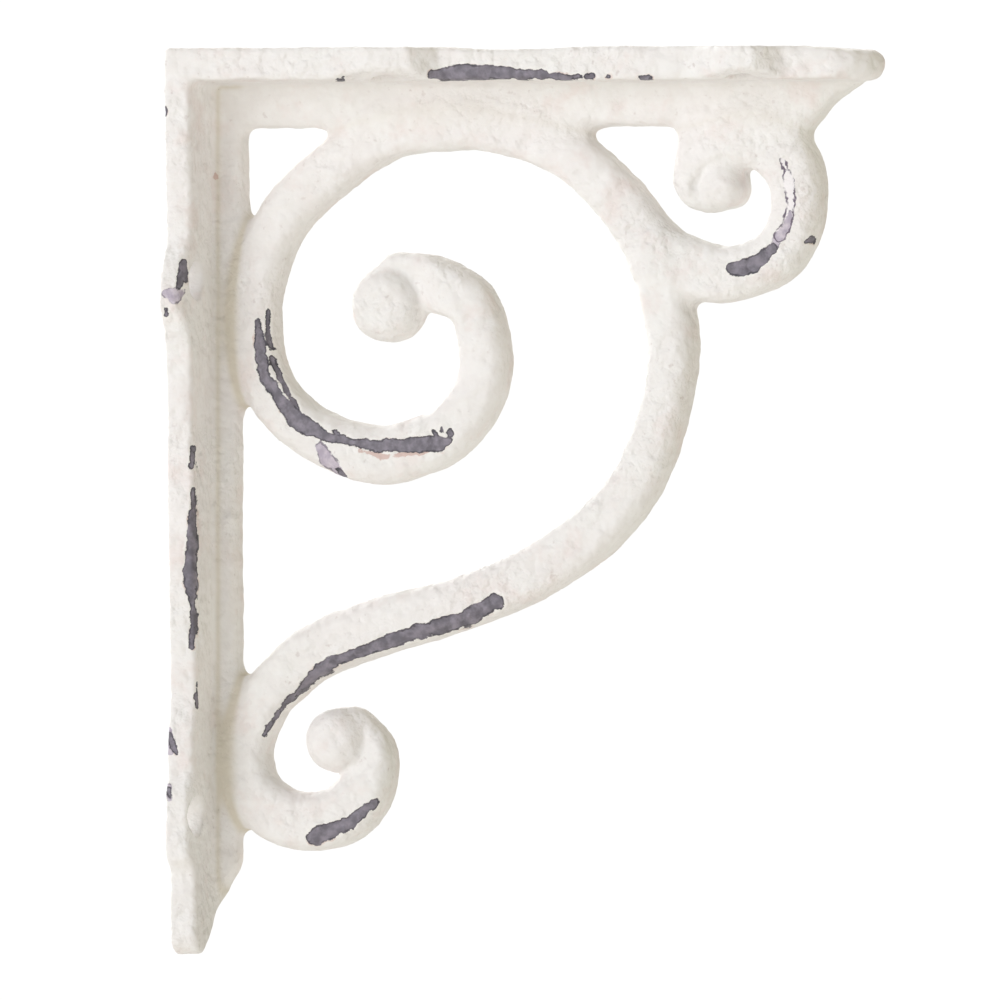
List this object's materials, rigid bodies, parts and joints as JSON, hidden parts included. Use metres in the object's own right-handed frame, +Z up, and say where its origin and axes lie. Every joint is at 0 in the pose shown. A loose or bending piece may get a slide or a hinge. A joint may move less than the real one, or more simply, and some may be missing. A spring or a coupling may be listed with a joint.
{
  "type": "scroll shelf bracket",
  "caption": "Cast-iron shelf bracket with a big volute and small curls in the corner of an L, ears and tongues with screw holes, and chipped antique-white paint.",
  "frame": {"origin": "heel of the L, where the wall face, the shelf face and the flat back of the casting meet", "axes": "+X out from the wall, +Z up with the shelf resting on Z = 0, +Y out of the flat back; the scrolls' rounded fronts and both flanges' free edges face -Y"},
  "size_m": [0.1231, 0.0214, 0.1524],
  "materials": {
    "painted_iron": "antique-white satin paint on sand-cast iron, rubbed through to a grey-violet undercoat"
  },
  "bodies": {
    "root": {"shelf_plate": "painted_iron", "wall_plate": "painted_iron", "shelf_rib": "painted_iron", "wall_rib": "painted_iron", "outer_sweep": "painted_iron", "volute": "painted_iron", "volute_eye": "painted_iron", "lower_curl": "painted_iron", "lower_eye": "painted_iron", "upper_curl": "painted_iron", "upper_eye": "painted_iron"}
  },
  "joints": []
}
